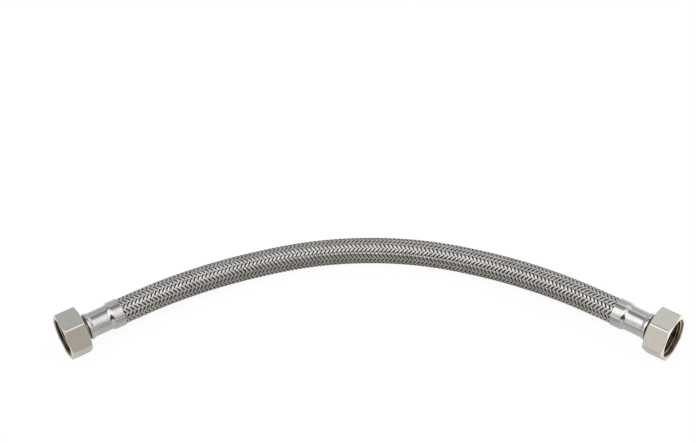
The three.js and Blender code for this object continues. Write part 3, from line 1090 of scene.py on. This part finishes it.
# Direction, degrees from it where the part is full and where it ends, and its colour
ROOM_PARTS = {
    "lamp, left end": ((-0.42, -0.32, 0.85), 12, 24, (1.45, 1.45, 1.43)),
    "lamp, right end": ((0.32, -0.38, 0.87), 10, 22, (1.2, 1.2, 1.19)),
    "lamp, middle": ((-0.05, -0.40, 0.91), 8, 19, (1.7, 1.7, 1.68)),
    "bright wall behind": ((0.14, 0.61, 0.78), 6, 15, (0.80, 0.80, 0.79)),
    "panel behind on the right": ((0.55, 0.50, 0.67), 12, 26, (1.15, 1.15, 1.13)),
    "dark flag on the left": ((-1.0, 0.10, 0.20), 8, 18, (0.35, 0.34, 0.33)),
    "dark flag on the right": ((1.0, 0.10, 0.35), 8, 18, (0.35, 0.34, 0.33)),
    "dark opening, left part": ((-0.30, -0.87, 0.37), 13, 22, (0.10, 0.072, 0.056)),
    "dark opening, right part": ((0.20, -0.88, 0.40), 13, 22, (0.10, 0.072, 0.056)),
}


def room_ramp(tree, over, half):
    """The brightness of one half of the room, by the share of the way over the top."""
    ramp = add_node(tree, "ShaderNodeValToRGB", {0: over})
    elements = ramp.color_ramp.elements
    while len(elements) < len(ROOM_HALVES[half]):
        elements.new(0.5)
    for element, (degrees, level) in zip(elements, ROOM_HALVES[half]):
        element.position = degrees / 180
        warmth = WARMTH[half] * max(0.0, 1 - degrees / WARM_BELOW)
        element.color = (level * (1 + warmth), level, level * (1 - warmth), 1.0)
    return ramp.outputs[0]


def make_world():
    world = bpy.data.worlds.new("studio")
    world.use_nodes = True
    tree = world.node_tree
    tree.nodes.clear()
    direction = add_node(tree, "ShaderNodeTexCoord").outputs["Generated"]
    x, y, z = split(tree, direction)
    over = (z.math("ARCTAN2", y * -1.0) / math.pi).math("MAXIMUM", 0.0)
    halves = [room_ramp(tree, over, half) for half in ("left", "right")]
    room = mix_colour(tree, x.between(-0.7, 0.7), *halves)
    for place, full, end, colour in ROOM_PARTS.values():
        inputs = {0: direction, 1: tuple(Vector(place).normalized())}
        facing = add_node(tree, "ShaderNodeVectorMath", inputs, operation="DOT_PRODUCT")
        limits = [math.cos(math.radians(degrees)) for degrees in (end, full)]
        room = mix_colour(tree, Signal(facing.outputs["Value"]).between(*limits), room, colour)

    seen = add_node(tree, "ShaderNodeLightPath").outputs["Is Camera Ray"]
    colour = mix_colour(tree, seen, room, (1.0, 1.0, 1.0))
    background = new_signal(tree, "ShaderNodeBackground", {"Color": colour, "Strength": 1.0})
    fill(add_node(tree, "ShaderNodeOutputWorld").inputs["Surface"], background)
    return world


bpy.context.scene.world = make_world()
print("world made, with", len(ROOM_PARTS), "round parts")

# %% [markdown]
# ## Lamp and floor
#
# One large soft lamp shines from where the room shows its lamp. It lights the floor and the rubber
# and casts the faint shadow. Metal doesn't mirror it, because the painted room already shows it.
#
# The floor is plain and pale, and it shows nearly white to the camera. To a mirroring surface it
# glows with painted light: a slightly warm grey under the middle of the hose and brighter towards
# both ends, with the brightest patch, a painted pool of light, in front of the right nut.

# %% Lamp
LAMP_AWAY = Vector((-0.06, -0.41, 0.91)).normalized()
lamp_data = bpy.data.lights.new("softbox", "AREA")
lamp_data.shape = "RECTANGLE"
lamp_data.size = 0.75
lamp_data.size_y = 0.45
lamp_data.energy = 1.4
lamp_data.color = (1.0, 0.99, 0.97)
lamp = place_object("softbox", lamp_data)
aim = Vector((0.0, 0.03, 0.0))
lamp.location = aim + LAMP_AWAY
lamp.rotation_mode = "QUATERNION"
lamp.rotation_quaternion = LAMP_AWAY.to_track_quat("Z", "Y")
lamp.visible_glossy = False
print("lamp is", round((lamp.location - aim).length, 2), "m away")

# %% Floor
REACH = 6.0
SHOWN_TO_METAL, SHOWN_TO_CAMERA = 0.6, 0.85


def floor_brightness(tree, place):
    """The painted light that the floor glows with for a mirroring surface, by its place in metres."""
    x, y, _ = split(tree, place)
    from_middle = x.math("ABSOLUTE")
    towards_ends = from_middle.between(0.09, 0.14, 0.38, 0.80)
    below_nuts = from_middle.between(0.15, 0.165, 0.0, 0.3)
    # A painted pool of light in front of the right nut
    right_light_pool = y.between(0.01, 0.04, 1.0, 0.0) * x.between(0.155, 0.175, 0.0, 0.8)
    return towards_ends + below_nuts + right_light_pool


def make_floor_paper():
    material = bpy.data.materials.new("floor_paper")
    material.use_nodes = True
    tree = material.node_tree
    tree.nodes.clear()
    place = object_place(tree)
    grain = place_group(tree, clouding, Vector=place, Size=0.4, Contrast=0.2)
    pale = mix_colour(tree, grain["Mask"], (0.64, 0.615, 0.58), (0.66, 0.635, 0.60))
    looks = [
        ("ShaderNodeBsdfDiffuse", {"Color": pale, "Roughness": 0.5}),
        ("ShaderNodeEmission", {"Color": (1.0, 0.995, 0.98, 1), "Strength": floor_brightness(tree, place)}),
        ("ShaderNodeEmission", {"Color": (0.99, 0.995, 1, 1), "Strength": 1.1}),
    ]
    paper, glow, white = (new_signal(tree, kind, inputs) for kind, inputs in looks)
    path = outputs_of(add_node(tree, "ShaderNodeLightPath"))
    to_metal = path["Is Glossy Ray"] * SHOWN_TO_METAL
    to_camera = path["Is Camera Ray"] * SHOWN_TO_CAMERA
    lit = new_signal(tree, "ShaderNodeMixShader", {0: to_metal, 1: paper, 2: glow})
    mixed = new_signal(tree, "ShaderNodeMixShader", {0: to_camera, 1: lit, 2: white})
    fill(add_node(tree, "ShaderNodeOutputMaterial").inputs["Surface"], mixed)
    return material


floor_mesh = bpy.data.meshes.new("floor")
corners = [(-REACH, -REACH, 0), (REACH, -REACH, 0), (REACH, REACH, 0), (-REACH, REACH, 0)]
floor_mesh.from_pydata(corners, [], [(0, 1, 2, 3)])
floor_mesh.materials.append(make_floor_paper())
floor = place_object("floor", floor_mesh)
bpy.context.scene.view_settings.view_transform = "Standard"
print("floor is", 2 * REACH, "m wide")
